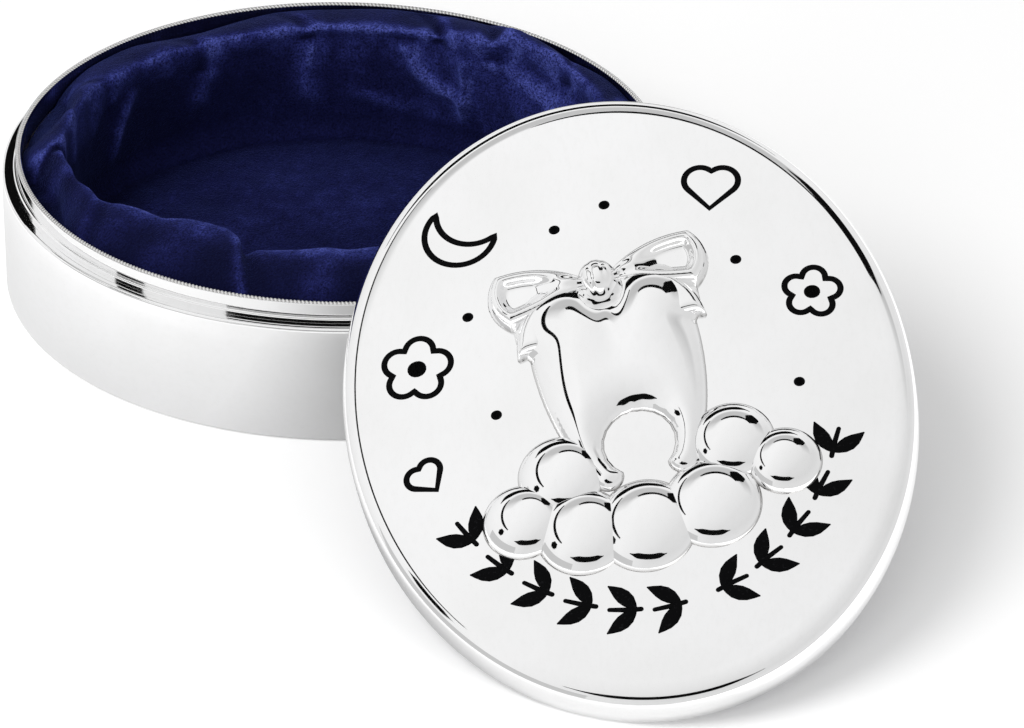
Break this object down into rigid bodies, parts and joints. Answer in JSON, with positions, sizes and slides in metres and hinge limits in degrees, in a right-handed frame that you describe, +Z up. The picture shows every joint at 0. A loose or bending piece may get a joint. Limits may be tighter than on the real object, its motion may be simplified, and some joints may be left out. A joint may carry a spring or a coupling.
{
  "type": "keepsake box",
  "caption": "Oval silver-plated keepsake box for a baby's first tooth, with a velvet-lined well, a raised neck and a lift-off domed lid.",
  "frame": {"origin": "middle of the underside of the base, on the surface that it stands on", "axes": "+Z up; X along the oval's long axis; the lid has been lifted off and leans on the base at -Y"},
  "size_m": [0.0751, 0.0792, 0.0243],
  "materials": {
    "silver_plate": "polished",
    "velvet": "matte",
    "enamel": "gloss",
    "card": "matte",
    "wadding": "matte"
  },
  "bodies": {
    "base": {"base_cup": "silver_plate", "neck_ring": "silver_plate", "wall_card": "card", "wall_wadding": "wadding", "velvet_wall": "velvet", "floor_card": "card", "floor_wadding": "wadding", "velvet_floor": "velvet"},
    "lid": {"lid_shell": "silver_plate", "enamel_fill": "enamel", "lid_card": "card", "lid_wadding": "wadding", "lid_velvet": "velvet"}
  },
  "joints": [
    {"name": "lid_lift", "type": "slide", "parent": "base", "child": "lid", "axis": [0, 0, 1], "range_m": [0, 0.04]}
  ]
}
